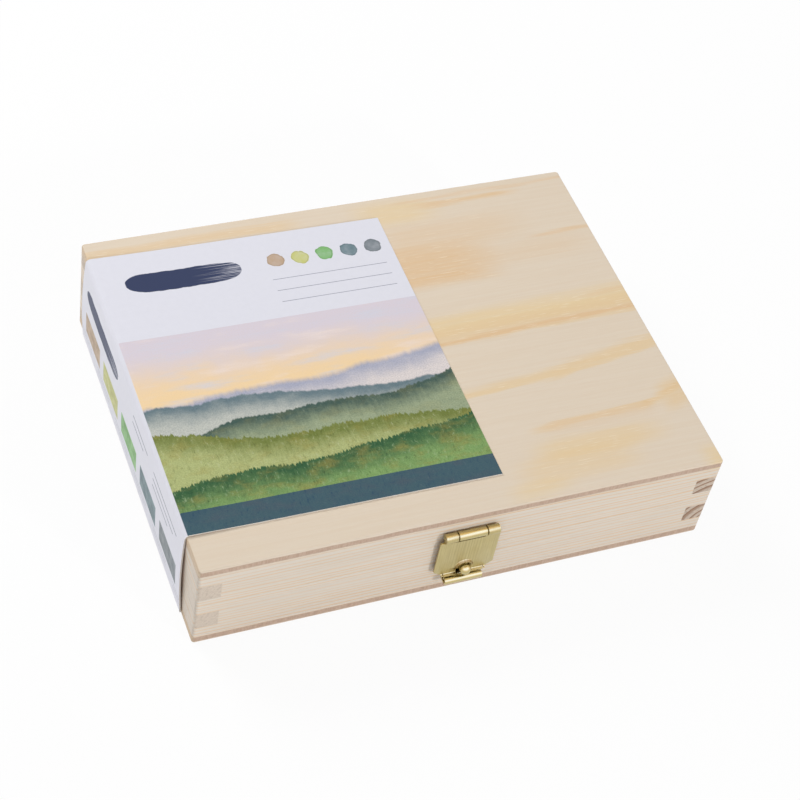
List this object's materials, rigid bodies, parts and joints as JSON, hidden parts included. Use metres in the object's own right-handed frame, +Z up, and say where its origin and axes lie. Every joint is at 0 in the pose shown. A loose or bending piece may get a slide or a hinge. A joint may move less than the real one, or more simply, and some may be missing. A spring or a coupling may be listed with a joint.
{
  "type": "hinged wooden watercolor paint box",
  "caption": "Flat finger-jointed wooden paint box with a hinged lid, brass latch, folded card cover and metal paint tubes in divided bays.",
  "frame": {"origin": "centre of the wooden box underside, on the surface that it stands on", "axes": "+X to the right along the latch side, +Y from the latch side to the hinge side, +Z up"},
  "size_m": [0.1663, 0.1381, 0.0358],
  "materials": {
    "pine": "satin",
    "plywood": "satin",
    "divider_wood": "matte",
    "brass": "brushed",
    "card": "satin",
    "tube_metal": "satin",
    "cap_plastic": "gloss"
  },
  "bodies": {
    "base": {"base_panel": "plywood", "base_front_rail": "pine", "base_back_rail": "pine", "base_left_rail": "pine", "base_right_rail": "pine", "left_hinge_base_leaf": "brass", "right_hinge_base_leaf": "brass", "left_hinge_pin": "brass", "right_hinge_pin": "brass", "hinge_screws_base": "brass", "catch_plate": "brass", "catch_stud": "brass", "catch_screws": "brass", "divider_1": "divider_wood", "divider_2": "divider_wood", "divider_3": "divider_wood", "divider_4": "divider_wood", "paint_tube_1": "tube_metal", "paint_tube_2": "tube_metal", "paint_tube_3": "tube_metal", "paint_tube_4": "tube_metal", "paint_tube_5": "tube_metal"},
    "lid": {"lid_panel": "plywood", "lid_front_rail": "pine", "lid_back_rail": "pine", "lid_left_rail": "pine", "lid_right_rail": "pine", "left_hinge_lid_leaf": "brass", "right_hinge_lid_leaf": "brass", "hinge_screws_lid": "brass", "latch_backplate": "brass", "latch_pin": "brass", "latch_screws": "brass", "card_cover": "card"},
    "latch": {"latch_flap": "brass"},
    "cap_1": {"tube_cap_1": "cap_plastic"},
    "cap_2": {"tube_cap_2": "cap_plastic"},
    "cap_3": {"tube_cap_3": "cap_plastic"},
    "cap_4": {"tube_cap_4": "cap_plastic"},
    "cap_5": {"tube_cap_5": "cap_plastic"}
  },
  "joints": [
    {"name": "lid_hinge", "type": "hinge", "parent": "base", "child": "lid", "pos_m": [0, 0.0668, 0.018], "axis": [-1, 0, 0], "range_deg": [0, 180]},
    {"name": "latch_hinge", "type": "hinge", "parent": "lid", "child": "latch", "pos_m": [0, -0.06675, 0.0281], "axis": [-1, 0, 0], "range_deg": [0, 180]},
    {"name": "cap_1_screw", "type": "hinge", "parent": "base", "child": "cap_1", "pos_m": [-0.06072, -0.0377, 0.0123], "axis": [0, -1, 0], "range_deg": [0, 540]},
    {"name": "cap_2_screw", "type": "hinge", "parent": "base", "child": "cap_2", "pos_m": [-0.03036, -0.0377, 0.0123], "axis": [0, -1, 0], "range_deg": [0, 540]},
    {"name": "cap_3_screw", "type": "hinge", "parent": "base", "child": "cap_3", "pos_m": [0, -0.0377, 0.0123], "axis": [0, -1, 0], "range_deg": [0, 540]},
    {"name": "cap_4_screw", "type": "hinge", "parent": "base", "child": "cap_4", "pos_m": [0.03036, -0.0377, 0.0123], "axis": [0, -1, 0], "range_deg": [0, 540]},
    {"name": "cap_5_screw", "type": "hinge", "parent": "base", "child": "cap_5", "pos_m": [0.06072, -0.0377, 0.0123], "axis": [0, -1, 0], "range_deg": [0, 540]}
  ]
}
